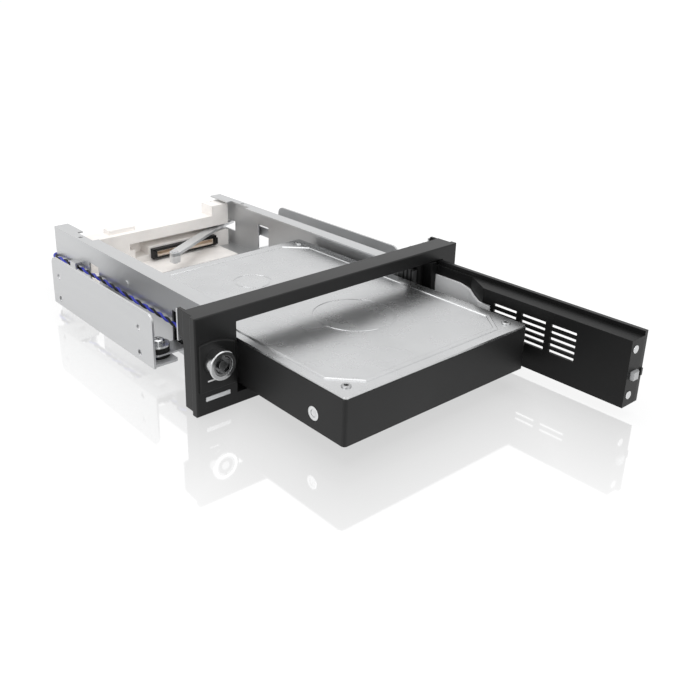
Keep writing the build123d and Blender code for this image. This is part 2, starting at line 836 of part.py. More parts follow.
def lever_pins():
    """Roller pin and tail pin, riveted into the lever."""
    top = lever_z + lever_thickness
    roller_pin = upright(roller_x, roller_y, roller_pin_r, lever_z - roller_height - 0.9, top)
    roller_pin += upright(roller_x, roller_y, roller_pin_r + 0.7, top, top + 0.5)
    low = lever_z - roller_height - 0.9
    roller_pin += upright(roller_x, roller_y, roller_pin_r + 0.6, low, low + 0.5)
    tail_pin = upright(tail_x, tail_y, tail_pin_r, lever_z, rod_tab_z + rod_thickness + 0.5)
    return [roller_pin, tail_pin]


def eject_roller():
    """Roller under the lever's free end."""
    top = lever_z - 0.2
    ring = upright(roller_x, roller_y, roller_r, top - roller_height, top)
    return ring - upright(roller_x, roller_y, roller_pin_r + running_play, top - roller_height - 1, top + 1)


def lever_pivot():
    """Upright pin in the rear frame."""
    return upright(lever_x, lever_y, lever_pin_r, lever_slot_bottom - 5.0, lever_slot_top + 5.0)


def backplane_holder():
    """White moulded frame across the rear, slotted for the lever and open for the socket."""
    body = block(holder_left, holder_right, holder_front, holder_rear, floor_top, holder_top)
    body += block(post_left, holder_right, holder_front, holder_rear, holder_top, post_top)
    body += block(block_left, block_right, holder_front + 4, holder_rear, holder_top, holder_top + block_rise)
    body += block(apron_left, apron_right, apron_front, holder_front, floor_top, floor_top + apron_thickness)
    slot_rear = holder_front + lever_slot_depth
    body -= block(roller_x - 15.0, holder_right + 1, holder_front - 1, slot_rear,
                  lever_slot_bottom, lever_slot_top)
    swung_x = lever_x - lever_length
    body -= block(swung_x - roller_r - 1.2, swung_x + roller_r + 1.6, holder_front - 1, slot_rear,
                  lever_z - roller_height - 2.0, lever_slot_top)
    half_socket = socket_width / 2 + 0.1
    body -= block(socket_x - half_socket, socket_x + half_socket, holder_front - 1, holder_rear + 1,
                  socket_z - socket_height / 2 - 0.1, socket_z + socket_height / 2 + 0.1)
    body -= upright(lever_x, lever_y, lever_pin_r, lever_slot_bottom - 5.0, lever_slot_top + 5.0)
    for x in (41.5, 44.0, 46.5):
        body -= block(x, x + 1.0, holder_rear - 2.0, holder_rear + 1, lever_slot_top + 2, post_top + 1)
    pocket_wall = 2.0
    body -= block(holder_left + pocket_wall, roller_x - 17.0, holder_front + pocket_wall, holder_rear + 1,
                  floor_top + pocket_wall, holder_top - pocket_wall)
    return body


def backplane_board():
    """Circuit board on the back of the rear frame."""
    return block(board_left, board_right, holder_rear, board_rear, board_bottom, board_top)


def board_screws():
    """Two screws that hold the board."""
    pieces = []
    for x in (board_left + 3.5, board_right - 3.0):
        pieces.append(along_y(x, board_top - 2.6, 1.8, board_rear, board_rear + 1.2))
    return pieces


def drive_socket():
    """Black shell of the socket that the drive plugs onto."""
    half = socket_width / 2
    front = holder_front - socket_reach
    low = socket_z - socket_height / 2
    high = socket_z + socket_height / 2
    shell = block(socket_x - half, socket_x + half, front, holder_rear, low, high)
    shell -= block(socket_x - half + 2.0, socket_x + half - 2.0, front - 1, holder_front + 4.0,
                   low + 0.8, high - 1.5)
    for side in (-1, 1):
        x = socket_x + side * (half - 1.0)
        shell += block(x - 1.0, x + 1.0, front - 1.6, front, low + 1.0, high - 1.0)
    return shell


def socket_insert():
    """Pale contact block inside the shell, with the two key slots."""
    half = socket_width / 2 - 2.0
    front = holder_front - socket_reach + 0.7
    low = socket_z - socket_height / 2 + 0.8
    high = socket_z + socket_height / 2 - 1.5
    insert = block(socket_x - half, socket_x + half, front, holder_front + 4.0, low, high)
    slot_low = socket_z - plug_thickness / 2 - 0.3
    slot_high = socket_z + plug_thickness / 2 + 0.3
    return insert - block(socket_x - half + 0.6, socket_x + half - 0.6, front - 1, front + 3.6,
                          slot_low, slot_high)


def rear_socket(x0, x1, wall=0.8):
    """Cable socket on the back of the board."""
    low = rear_socket_bottom
    high = rear_socket_top
    end = board_rear + rear_socket_depth
    shell = block(x0, x1, board_rear, end, low, high)
    shell -= block(x0 + wall, x1 - wall, board_rear + 2.0, end + 1, low + wall, high - wall)
    tongue_low = (low + high) / 2 - 0.6
    return shell + block(x0 + 2.0, x1 - 2.0, board_rear + 1.9, end - 1.0, tongue_low, tongue_low + 1.2)


def wire_header():
    """Small white plug on the board's back for the light's wires."""
    left = board_left + header_inset
    return block(left, left + header_width, board_rear, board_rear + header_depth, header_bottom, header_top)


def lock_barrel():
    """Chromed lock housing with a plain round head and a threaded shank."""
    front = -lock_reach
    body = along_y(lock_x, lock_z, lock_r, front, -panel_proud)
    body = fillet(body.edges().sort_by(Axis.Y)[0], lock_round)
    body += along_y(lock_x, lock_z, lock_shank_r, -panel_proud, lock_rear)
    return body - along_y(lock_x, lock_z, plug_r + running_play, front - 1, lock_rear + 1)


def lock_plug():
    """Turning core: a ring keyway round a centre post."""
    front = -lock_reach + plug_sunk
    core = along_y(lock_x, lock_z, plug_r, front, lock_rear + 0.1)
    ring = along_y(lock_x, lock_z, keyway_outer, front - 1, front + keyway_depth)
    ring -= along_y(lock_x, lock_z, keyway_inner, front - 2, front + keyway_depth + 1)
    core -= ring
    notch = keyway_notch / 2
    core -= block(lock_x - notch, lock_x + notch, front - 1, front + keyway_depth,
                  lock_z + keyway_outer - 0.3, lock_z + plug_r + 1)
    square = cam_square / 2
    return core + block(lock_x - square, lock_x + square, lock_rear, lock_rear + cam_thickness + 0.2,
                        lock_z - square, lock_z + square)


def lock_cam():
    """Flat cam that hangs down when the lock is open."""
    start = lock_rear + cam_gap
    half = cam_width / 2
    cam = along_y(lock_x, lock_z, half, start, start + cam_thickness)
    tip = lock_z - cam_length
    cam += block(lock_x - half, lock_x + half, start, start + cam_thickness, tip, lock_z)
    square = cam_square / 2 + 0.05
    return cam - block(lock_x - square, lock_x + square, start - 1, start + cam_thickness + 1,
                       lock_z - square, lock_z + square)


def cam_screw():
    """Screw that holds the cam on the plug."""
    start = lock_rear + cam_gap + cam_thickness + 0.05
    return along_y(lock_x, lock_z, cam_screw_r, start, start + cam_screw_head)


def lock_nut():
    """Hexagonal nut behind the bezel."""
    face = Plane.XZ * RegularPolygon(nut_across / 2, 6, major_radius=False, rotation=30)
    nut = Pos(lock_x, bezel_wall + nut_thickness, lock_z) * extrude(face, nut_thickness)
    return nut - along_y(lock_x, lock_z, lock_shank_r, bezel_wall - 1, bezel_wall + nut_thickness + 1)


def led_window():
    """Clear light bar in the bezel's slot."""
    body = block(window_left + window_play, window_right - window_play, -0.2, bezel_wall + 1.0,
                 window_bottom + window_play, window_top - window_play)
    body += block(window_left - window_flange, window_right + window_flange, bezel_wall, bezel_wall + 1.0,
                  window_bottom - window_flange, window_top + window_flange)
    return body


def led_board():
    """Small board behind the light bar, held between the column's walls."""
    back = bezel_wall + led_board_gap
    return block(column_left + window_play, column_right - window_play, back - led_board_thickness, back,
                 led_board_bottom, led_board_top)


def status_leds():
    """Two lights on the small board, a quarter of the window in from each end."""
    pieces = []
    back = bezel_wall + led_board_gap - led_board_thickness
    half = led_size / 2
    low = window_bottom + 2 * window_play
    high = window_top - 2 * window_play
    for share in (0.25, 0.75):
        x = window_left + share * window_width
        pieces.append(block(x - half, x + half, back - led_depth, back, low, high))
    return pieces


def signal_wires():
    """Twisted pair from the light's board, along the left wall, to the rear board."""
    led_back = bezel_wall + led_board_gap
    wall = -half_cage - wire_r - 0.5
    header_y = board_rear + header_depth / 2
    header_z = (header_bottom + header_top) / 2
    route = [(-61.0, led_back, 7.6), (-61.0, led_back + 5.6, 7.6), (-59.4, led_back + 12.6, 13.0),
             (-57.2, 32.0, 18.6), (wall, 52.0, 20.2), (wall - 0.3, 80.0, 19.7), (wall, 108.0, 20.3),
             (wall, 134.0, 19.5), (wall, 156.0, 18.6), (wall - 0.8, 169.6, 17.6),
             (wall + 6.0, 177.0, 16.6), (wall + 17.0, 177.6, 15.8),
             (board_left - 13.5, header_y, header_z), (board_left + header_inset, header_y, header_z)]
    radii = []
    for before, here, after in zip(route, route[1:], route[2:]):
        arrive = Vector(*here) - Vector(*before)
        leave = Vector(*after) - Vector(*here)
        turn = radians(arrive.get_angle(leave))
        radii.append(0.45 * min(arrive.length, leave.length) / max(sin(turn / 2) / cos(turn / 2), 1e-6))
    path = FilletPolyline(*route, radius=radii)
    print("wire length", round(path.length, 1), "tightest bend", round(min(radii), 1))
    start = Plane(origin=path @ 0, z_dir=path % 0)
    return sweep(start * Circle(wire_r), path=path)


def drive_base():
    """Black casting of the drive, hollow under its lid, open at the rear for the plug."""
    rim = drive_top - lid_thickness - lid_ridge
    body = block(drive_left, drive_right, drive_front, drive_rear, drive_bottom, rim)
    body = rounded(body, Axis.Z, drive_corner)
    body -= block(drive_left + drive_wall, drive_right - drive_wall, drive_front + drive_wall,
                  drive_rear - 10.0, drive_bottom + 4.0, rim + 1)
    half = plug_width / 2 + 2.2
    body -= block(socket_x - half, socket_x + half, drive_rear - 7.0, drive_rear + 1,
                  drive_bottom - 1, socket_z + 4.0)
    body -= block(*drive_board_box(0.3), drive_bottom - 1, drive_bottom + drive_board_high)
    z = drive_bottom + drive_hole_height
    for side, face in ((-1, drive_left), (1, drive_right)):
        for back in drive_holes_from_rear:
            y = drive_rear - back
            body -= along_x(y, z, drive_hole_r, face - side * 3.0, face + side)
            body -= along_x(y, z, spot_face_r, face - side * spot_face_depth, face + side)
    return body


def drive_board_box(play):
    """X and Y limits of the drive's circuit board."""
    return (drive_left + drive_board_side - play, drive_right - drive_board_side + play,
            drive_front + drive_board_front - play, drive_rear - drive_board_rear + play)


def drive_board():
    """Circuit board in the underside of the drive."""
    return block(*drive_board_box(0), drive_bottom + drive_board_low, drive_bottom + drive_board_high)


def drive_plug():
    """Plug tongue in the drive's rear recess."""
    half = plug_width / 2 - 2.2
    tongue = block(socket_x - half, socket_x + half, drive_rear - 7.0, drive_rear - 0.5,
                   socket_z - plug_thickness / 2, socket_z + plug_thickness / 2)
    return tongue + block(socket_x - half - 1.0, socket_x + half + 1.0, drive_rear - 7.0, drive_rear - 5.4,
                          socket_z - 2.6, socket_z + 2.6)


def drive_lid():
    """Pressed lid with a raised field and two round pads."""
    base = drive_top - lid_thickness - lid_ridge
    edge = 0.25
    lid = block(drive_left + edge, drive_right - edge, drive_front + edge, drive_rear - edge,
                base, base + lid_thickness)
    lid = rounded(lid, Axis.Z, drive_corner)
    left = drive_left + 3.9
    right = drive_right - 4.6
    front = drive_front + 4.6
    rear = drive_rear - 3.8
    field = [(left, front + 11.0), (left + 10.5, front), (right - 8.6, front), (right, front + 11.0),
             (right, rear - 11.0), (right - 11.0, rear), (left + 12.0, rear), (left, rear - 12.0)]
    raised = plate_xy(field, base, base + lid_thickness + lid_ridge)
    raised = chamfer(raised.faces().sort_by(Axis.Z)[-1].edges(), lid_ridge * 0.8)
    inner = offset(make_face(Polyline(*field, close=True)), -lid_bead)
    inner = Pos(0, 0, drive_top - lid_sink) * extrude(inner, 1)
    lid += raised - chamfer(inner.faces().sort_by(Axis.Z)[0].edges(), lid_sink * 0.9)
    for x, y, r in lid_pads():
        ring = upright(x, y, r, drive_top - lid_ridge * 0.9, drive_top + 1)
        ring -= upright(x, y, r - lid_groove, drive_top - lid_ridge, drive_top + 2)
        lid -= ring
    return lid


def lid_pads():
    """Middle and radius of the two round pads pressed into the lid."""
    return [(-0.8, -9.7, 17.8), (-10.7, 49.0, 9.1)]


def lid_screws():
    """Small pan-head screws in the lid's corners, each with a round socket."""
    pieces = []
    top = drive_top - lid_ridge
    for x in (drive_left + lid_screw_inset, drive_right - lid_screw_inset + 0.8):
        for y in (drive_front + lid_screw_inset + 0.2, drive_rear - lid_screw_inset):
            screw = upright(x, y, lid_screw_r, top, top + lid_screw_head)
            screw = chamfer(screw.edges().sort_by(Axis.Z)[-1], lid_screw_head / 2)
            pieces.append(screw - upright(x, y, lid_socket_r, top + 0.2, top + 1))
    return pieces


def nodes():
    """Every sub-part by its name."""
    return {
        "bezel": bezel(),
        "cage": cage(),
        "side_plate_left": side_plate(-1),
        "side_plate_right": side_plate(1),
        "dampers": dampers(),
        "damper_washers": damper_washers(),
        "damper_screws": damper_screws(),
        "clinch_nuts": clinch_nuts(),
        "bezel_screws": bezel_screws(),
        "drive_guide": drive_guide(),
        "hinge_pins": hinge_pins(),
        "door_panel": door_panel(),
        "door_tray": door_tray(),
        "door_screws": door_screws(),
        "door_strip": door_strip(),
        "crank_pin": crank_pin(),
        "latch_bolt": latch_bolt(),
        "latch_spring": latch_spring(),
        "push_rod": push_rod(),
        "rod_guides": rod_guides(),
        "eject_lever": eject_lever(),
        "lever_pins": lever_pins(),
        "eject_roller": eject_roller(),
        "lever_pivot": lever_pivot(),
        "backplane_holder": backplane_holder(),
        "backplane_board": backplane_board(),
        "board_screws": board_screws(),
        "drive_socket": drive_socket(),
        "socket_insert": socket_insert(),
        "rear_power_socket": rear_socket(*power_socket),
        "rear_data_socket": rear_socket(*data_socket),
        "wire_header": wire_header(),
        "lock_barrel": lock_barrel(),
        "lock_plug": lock_plug(),
        "lock_cam": lock_cam(),
        "cam_screw": cam_screw(),
        "lock_nut": lock_nut(),
        "led_window": led_window(),
        "led_board": led_board(),
        "status_leds": status_leds(),
        "signal_wires": signal_wires(),
        "drive_base": drive_base(),
        "drive_lid": drive_lid(),
        "lid_screws": lid_screws(),
        "drive_board": drive_board(),
        "drive_plug": drive_plug(),
    }


def main():
    os.makedirs("parts", exist_ok=True)
    to_origin = Pos(0, -rim_depth / 2, -bezel_bottom)
    for name, shape in nodes().items():
        if isinstance(shape, list):
            placed = Compound([to_origin * piece for piece in shape])
        else:
            placed = to_origin * shape
        export_step(placed, f"parts/{name}.step")
        print(name, round(placed.volume, 1))


main()
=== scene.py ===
import math

import bpy
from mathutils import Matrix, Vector


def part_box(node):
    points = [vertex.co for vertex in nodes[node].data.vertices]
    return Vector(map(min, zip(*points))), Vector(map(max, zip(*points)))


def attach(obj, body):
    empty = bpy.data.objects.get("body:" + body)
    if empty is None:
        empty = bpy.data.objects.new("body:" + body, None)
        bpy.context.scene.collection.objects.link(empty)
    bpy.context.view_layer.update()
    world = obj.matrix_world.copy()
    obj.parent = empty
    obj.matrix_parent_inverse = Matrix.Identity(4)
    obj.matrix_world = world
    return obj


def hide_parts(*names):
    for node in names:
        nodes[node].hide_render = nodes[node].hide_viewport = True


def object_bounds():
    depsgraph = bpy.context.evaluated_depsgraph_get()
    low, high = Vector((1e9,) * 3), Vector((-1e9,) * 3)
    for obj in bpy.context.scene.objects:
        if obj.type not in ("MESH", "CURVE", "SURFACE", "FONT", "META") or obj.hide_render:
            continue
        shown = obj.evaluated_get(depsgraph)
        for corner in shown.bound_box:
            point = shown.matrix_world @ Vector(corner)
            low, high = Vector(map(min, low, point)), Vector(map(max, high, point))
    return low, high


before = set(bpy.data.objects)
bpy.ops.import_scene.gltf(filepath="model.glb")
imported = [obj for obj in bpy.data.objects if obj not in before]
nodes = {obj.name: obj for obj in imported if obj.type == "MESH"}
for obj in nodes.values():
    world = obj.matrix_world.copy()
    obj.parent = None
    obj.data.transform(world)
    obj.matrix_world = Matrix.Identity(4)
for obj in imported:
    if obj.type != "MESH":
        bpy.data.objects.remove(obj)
cad_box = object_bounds()

MM = 0.001

# Camera, fitted to the photograph
CAMERA_AZIMUTH = -37.73
CAMERA_ELEVATION = 21.26
CAMERA_ROLL = -0.21
CAMERA_DISTANCE = 407.63 * MM
CAMERA_TARGET = Vector((2.15, 47.61, 20.4)) * MM
CAMERA_LENS = 43.29
CAMERA_SHIFT = (0.1153, -0.0878)


def add_camera():
    """Camera at the photograph's angle."""
    azimuth = math.radians(CAMERA_AZIMUTH)
    elevation = math.radians(CAMERA_ELEVATION)
    back = Vector((math.sin(azimuth) * math.cos(elevation), -math.cos(azimuth) * math.cos(elevation),
                   math.sin(elevation)))
    data = bpy.data.cameras.new("camera")
    data.lens = CAMERA_LENS
    data.sensor_width = 36.0
    data.shift_x, data.shift_y = CAMERA_SHIFT
    data.clip_start = 0.01
    data.clip_end = 20.0
    camera = bpy.data.objects.new("camera", data)
    bpy.context.scene.collection.objects.link(camera)
    camera.location = CAMERA_TARGET + back * CAMERA_DISTANCE
    facing = back.to_track_quat("Z", "Y")
    camera.rotation_euler = facing.to_euler()
    camera.rotation_euler.rotate_axis("Z", math.radians(CAMERA_ROLL))
    bpy.context.scene.camera = camera


# The band of a noise's values that a material's colour and roughness are spread over
NOISE_LOW = 0.3
NOISE_HIGH = 0.7
BEVEL_SAMPLES = 4
BEVEL_PLASTIC = 0.3 * MM
BEVEL_METAL = 0.2 * MM
GRAIN_DEPTH_PLASTIC = 0.05 * MM
GRAIN_DEPTH_METAL = 0.03 * MM
METAL_TINT = 0.01
# Streaks run along Y
CAGE_STREAKS = (1, 0.06, 1)
STRIP_STREAKS = (1, 0.08, 1)


class Nodes:
    """A material's node tree, with short calls for what the materials share."""

    def __init__(self, name):
        self.material = bpy.data.materials.new(name)
        self.material.use_nodes = True
        self.tree = self.material.node_tree
        self.shader = self.tree.nodes["Principled BSDF"]
        self.coords = None

    def new(self, kind):
        return self.tree.nodes.new(kind)

    def link(self, a, b):
        self.tree.links.new(a, b)

    def position(self):
        if self.coords is None:
            self.coords = self.new("ShaderNodeTexCoord").outputs["Object"]
        return self.coords

    def noise(self, scale, detail=3.0, stretch=(1, 1, 1)):
        mapping = self.new("ShaderNodeMapping")
        mapping.inputs["Scale"].default_value = stretch
        self.link(self.position(), mapping.inputs["Vector"])
        noise = self.new("ShaderNodeTexNoise")
        noise.inputs["Scale"].default_value = scale
        noise.inputs["Detail"].default_value = detail
        noise.inputs["Roughness"].default_value = 0.55
        self.link(mapping.outputs["Vector"], noise.inputs["Vector"])
        return noise.outputs["Fac"]

    def spread(self, value, low, high):
        """The value's middle band mapped to low and high."""
        span = self.new("ShaderNodeMapRange")
        span.inputs["From Min"].default_value = NOISE_LOW
        span.inputs["From Max"].default_value = NOISE_HIGH
        span.inputs["To Min"].default_value = low
        span.inputs["To Max"].default_value = high
        self.link(value, span.inputs["Value"])
        return span.outputs["Result"]

    def bump(self, height, strength, distance, edge):
        """Fine relief, on top of edges that are rounded by shading alone."""
        bump = self.new("ShaderNodeBump")
        bump.inputs["Strength"].default_value = strength
        bump.inputs["Distance"].default_value = distance
        self.link(height, bump.inputs["Height"])
        bevel = self.new("ShaderNodeBevel")
        bevel.samples = BEVEL_SAMPLES
        bevel.inputs["Radius"].default_value = edge
        self.link(bevel.outputs["Normal"], bump.inputs["Normal"])
        self.link(bump.outputs["Normal"], self.shader.inputs["Normal"])

    def colour(self, value, dark, light):
        """Base colour from dark to light over the value's middle band."""
        ramp = self.new("ShaderNodeValToRGB")
        low, high = ramp.color_ramp.elements
        low.position = NOISE_LOW
        low.color = (*dark, 1.0)
        high.position = NOISE_HIGH
        high.color = (*light, 1.0)
        self.link(value, ramp.inputs["Fac"])
        self.link(ramp.outputs["Color"], self.shader.inputs["Base Color"])

    def set(self, socket, value):
        self.shader.inputs[socket].default_value = value


def grey(value, tint):
    """A neutral colour, slightly cool when the tint is above zero."""
    return (value * (1 - tint), value, value * (1 + tint))


def plastic(name, base, rough, grain=2600.0, bump=0.06, tint=0.02, gloss=0.5):
    """Moulded plastic with a fine grain."""
    m = Nodes(name)
    m.set("Roughness", rough)
    m.set("Specular IOR Level", gloss)
    m.colour(m.noise(60.0), grey(base * 0.92, tint), grey(base * 1.08, tint))
    m.link(m.spread(m.noise(35.0), rough * 0.93, rough * 1.07), m.shader.inputs["Roughness"])
    m.bump(m.noise(grain, detail=1.0), bump, GRAIN_DEPTH_PLASTIC, BEVEL_PLASTIC)
    return m.material


def metal(name, base, rough, stretch=(1, 1, 1), grain=900.0, bump=0.02, dull=0.0):
    """Bare or plated metal: a base tone, streaks along one axis and fine bump."""
    m = Nodes(name)
    m.set("Metallic", 1.0 - dull)
    m.set("Roughness", rough)
    dark = grey(base * 0.95, METAL_TINT)
    light = grey(min(base * 1.04, 1.0), METAL_TINT)
    m.colour(m.noise(40.0, stretch=stretch), dark, light)
    m.link(m.spread(m.noise(90.0, stretch=stretch), rough * 0.9, rough * 1.1), m.shader.inputs["Roughness"])
    m.bump(m.noise(grain, detail=2.0, stretch=stretch), bump, GRAIN_DEPTH_METAL, BEVEL_METAL)
    return m.material


def dress(material, *names):
    """Gives CAD nodes a material."""
    for name in names:
        for place in nodes[name].material_slots:
            place.material = material
        if not nodes[name].material_slots:
            nodes[name].data.materials.append(material)


def dress_all():
    """One finish for each kind of surface."""
    dress(plastic("bezel_black", 0.008, 0.36, bump=0.08, gloss=0.26), "bezel")
    dress(plastic("door_black", 0.007, 0.36, bump=0.08, gloss=0.24), "door_panel")
    dress(plastic("inner_black", 0.005, 0.42, bump=0.10, gloss=0.20), "door_tray", "rod_guides")
    dress(plastic("jamb_black", 0.030, 0.34, gloss=0.45), "drive_guide")
    dress(plastic("drive_black", 0.008, 0.45, grain=4200.0, bump=0.25, gloss=0.28), "drive_base")
    dress(metal("drive_silver", 0.60, 0.27, bump=0.006, grain=1500.0), "drive_lid")
    dress(metal("cage_steel", 0.56, 0.38, CAGE_STREAKS, dull=0.2), "cage")
    dress(metal("plate_steel", 0.56, 0.42, CAGE_STREAKS, dull=0.3), "side_plate_left", "side_plate_right")
    dress(metal("bright_steel", 0.62, 0.24), "damper_washers", "damper_screws", "clinch_nuts",
          "bezel_screws", "hinge_pins", "crank_pin", "lever_pins", "lever_pivot", "board_screws",
          "latch_spring", "door_screws")
    dress(metal("lid_screw", 0.42, 0.22), "lid_screws")
    dress(metal("strip_steel", 0.90, 0.34, STRIP_STREAKS, dull=0.8), "door_strip")
    dress(metal("lever_steel", 0.66, 0.30, STRIP_STREAKS, dull=0.2), "push_rod", "eject_lever")
    dress(metal("lock_chrome", 0.50, 0.16, bump=0.01), "lock_barrel")
    dress(metal("plug_chrome", 0.26, 0.22), "lock_plug")
    dress(metal("cam_steel", 0.60, 0.35), "lock_cam", "cam_screw", "lock_nut")
    dress(plastic("latch_silver", 0.40, 0.35, bump=0.05), "latch_bolt")
    dress(plastic("rubber", 0.008, 0.6, grain=1500.0, bump=0.3, gloss=0.3), "dampers")
    dress(plastic("cream", 0.92, 0.42, tint=-0.035, bump=0.03), "backplane_holder")
    dress(plastic("white_nylon", 0.88, 0.40, tint=-0.01), "eject_roller", "rear_power_socket", "wire_header")
    dress(plastic("socket_black", 0.008, 0.38, gloss=0.3), "drive_socket", "rear_data_socket", "drive_plug")
    dress(plastic("insert_beige", 0.80, 0.4, tint=-0.16), "socket_insert")
    dress(plastic("clear_window", 0.66, 0.15, tint=0.015, bump=0.02), "led_window", "status_leds")
    board = Nodes("board_green")
    board.set("Roughness", 0.35)
    board.colour(board.noise(300.0), (0.010, 0.075, 0.030), (0.018, 0.11, 0.045))
    dress(board.material, "backplane_board", "drive_board", "led_board")


SHARP_ANGLE = 35


def add_piece(name, verts, faces, material, body):
    """New mesh that rides on a body, smooth apart from its sharp edges."""
    mesh = bpy.data.meshes.new(name)
    mesh.from_pydata(verts, [], faces)
    mesh.materials.append(material)
    for face in mesh.polygons:
        face.use_smooth = True
    mesh.set_sharp_from_angle(angle=math.radians(SHARP_ANGLE))
    piece = bpy.data.objects.new(name, mesh)
    bpy.context.scene.collection.objects.link(piece)
    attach(piece, body)
    return piece


def turned(profile, centre, axis, steps):
    """Solid of revolution: the profile is a closed loop of (radius, distance along the axis)."""
    axis = Vector(axis)
    side = axis.orthogonal().normalized()
    other = axis.cross(side)
    verts = []
    for step in range(steps):
        turn = 2 * math.pi * step / steps
        out = side * math.cos(turn) + other * math.sin(turn)
        verts += [Vector(centre) + out * radius + axis * along for radius, along in profile]
    count = len(profile)
    faces = []
    for step in range(steps):
        here = step * count
        there = (step + 1) % steps * count
        for place in range(count):
            after = (place + 1) % count
            faces.append((here + place, here + after, there + after, there + place))
    return verts, faces


def turned_set(profile, places, steps=36):
    """The same solid of revolution, its profile in mm, at several places, each a centre and an axis."""
    scaled = [(radius * MM, along * MM) for radius, along in profile]
    verts = []
    faces = []
    for centre, axis in places:
        more, their = turned(scaled, centre, axis, steps)
        faces += [tuple(corner + len(verts) for corner in face) for face in their]
        verts += more
    return verts, faces


# The wires' route in mm, with the same points as the CAD's, and the pair twisted round it
WIRE_ROUTE = [(-61.0, 2.2, 8.0), (-61.0, 7.8, 8.0), (-59.4, 14.8, 13.4), (-57.2, 26.8, 19.0),
              (-56.1, 46.8, 20.6), (-56.4, 74.8, 20.1), (-56.1, 102.8, 20.7), (-56.1, 128.8, 19.9),
              (-56.1, 150.8, 19.0), (-56.9, 164.4, 18.0), (-50.1, 171.8, 17.0), (-39.1, 172.4, 16.2),
              (-25.5, 165.7, 15.4), (-11.4, 165.7, 15.4)]
TWIST_PITCH = 13.0 * MM
STRAND_RADIUS = 0.58 * MM
STRAND_OFFSET = 0.52 * MM


def route_points():
    """Points along the smooth line through the route."""
    curve = bpy.data.curves.new("wire_route", "CURVE")
    curve.dimensions = "3D"
    curve.resolution_u = 20
    spline = curve.splines.new("NURBS")
    spline.points.add(len(WIRE_ROUTE) - 1)
    for point, place in zip(spline.points, WIRE_ROUTE):
        point.co = (*(Vector(place) * MM), 1.0)
    spline.order_u = 3
    spline.use_endpoint_u = True
    line = bpy.data.objects.new("wire_route", curve)
    bpy.context.scene.collection.objects.link(line)
    mesh = bpy.data.meshes.new_from_object(line)
    points = [vertex.co.copy() for vertex in mesh.vertices]
    bpy.data.objects.remove(line)
    bpy.data.meshes.remove(mesh)
    return points


def with_frames(points):
    """Each point with two directions square to the line, which don't roll along it."""
    side = Vector((0, 0, 1))
    result = []
    for index, point in enumerate(points):
        before = points[max(index - 1, 0)]
        after = points[min(index + 1, len(points) - 1)]
        ahead = (after - before).normalized()
        side = (side - ahead * side.dot(ahead)).normalized()
        result.append((point, side, ahead.cross(side)))
    return result


def tube(points, radius, sides=10):
    """Closed round tube along a line."""
    verts = []
    for point, side, other in with_frames(points):
        for corner in range(sides):
            turn = 2 * math.pi * corner / sides
            verts.append(point + (side * math.cos(turn) + other * math.sin(turn)) * radius)
    faces = []
    for ring in range(len(points) - 1):
        for corner in range(sides):
            after = (corner + 1) % sides
            here = ring * sides
            faces.append((here + corner, here + after, here + sides + after, here + sides + corner))
    last = (len(points) - 1) * sides
    faces.append(tuple(range(sides))[::-1])
    faces.append(tuple(range(last, last + sides)))
    return verts, faces


def add_wires():
    """Blue and black wire, twisted round each other along the left wall."""
    line = route_points()
    travelled = [0.0]
    for before, after in zip(line, line[1:]):
        travelled.append(travelled[-1] + (after - before).length)
    verts = []
    faces = []
    for phase in (0.0, math.pi):
        strand = []
        for (point, side, other), along in zip(with_frames(line), travelled):
            turn = phase + 2 * math.pi * along / TWIST_PITCH
            strand.append(point + (side * math.cos(turn) + other * math.sin(turn)) * STRAND_OFFSET)
        strand_verts, strand_faces = tube(strand, STRAND_RADIUS)
        start = len(verts)
        verts += strand_verts
        faces += [tuple(corner + start for corner in face) for face in strand_faces]
    blue = Nodes("wire_blue")
    blue.set("Roughness", 0.34)
    blue.colour(blue.noise(120.0), (0.003, 0.012, 0.38), (0.006, 0.02, 0.48))
    black = plastic("wire_black", 0.005, 0.40, gloss=0.2)
    pair = add_piece("signal_pair", verts, faces, blue.material, "rack")
    pair.data.materials.append(black)
    for face in pair.data.polygons[len(faces) // 2:]:
        face.material_index = 1
    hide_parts("signal_wires")


# Threaded holes in the drive's sides, mm. Profiles give a radius and how far it stands out of the side
DRIVE_HOLE_Y = (-49.8, 10.2, 51.8)
DRIVE_HOLE_Z = 14.75
DRIVE_SIDES = (-53.4, 48.2)
RING_PROFILE = [(1.5, -0.29), (1.5, -0.10), (1.65, -0.04), (2.7, -0.04), (2.85, -0.12), (2.85, -0.29)]
CORE_PROFILE = [(0.05, -0.9), (0.05, -0.5), (1.1, -0.42), (1.45, -0.34), (1.45, -0.9)]


def add_hole_rings():
    """Bare metal faces round the threaded holes in the drive's sides, and the metal inside the holes."""
    silver = metal("hole_silver", 0.72, 0.30, dull=0.5)
    places = [(Vector((x, y, DRIVE_HOLE_Z)) * MM, (math.copysign(1, x), 0, 0))
              for x in DRIVE_SIDES for y in DRIVE_HOLE_Y]
    for name, profile in (("hole_rings", RING_PROFILE), ("hole_cores", CORE_PROFILE)):
        verts, faces = turned_set(profile, places)
        add_piece(name, verts, faces, silver, "drive")


# A lid screw's socket: its axis lies this far inside the screws' box, and its floor this far above it
SCREW_HEAD_RADIUS = 1.9 * MM
SOCKET_FLOOR = 0.2 * MM
SOCKET_SIDES = 6
SOCKET_PROFILE = [(0.05, 0.0), (0.05, 0.06), (0.86, 0.10), (0.86, 0.0)]


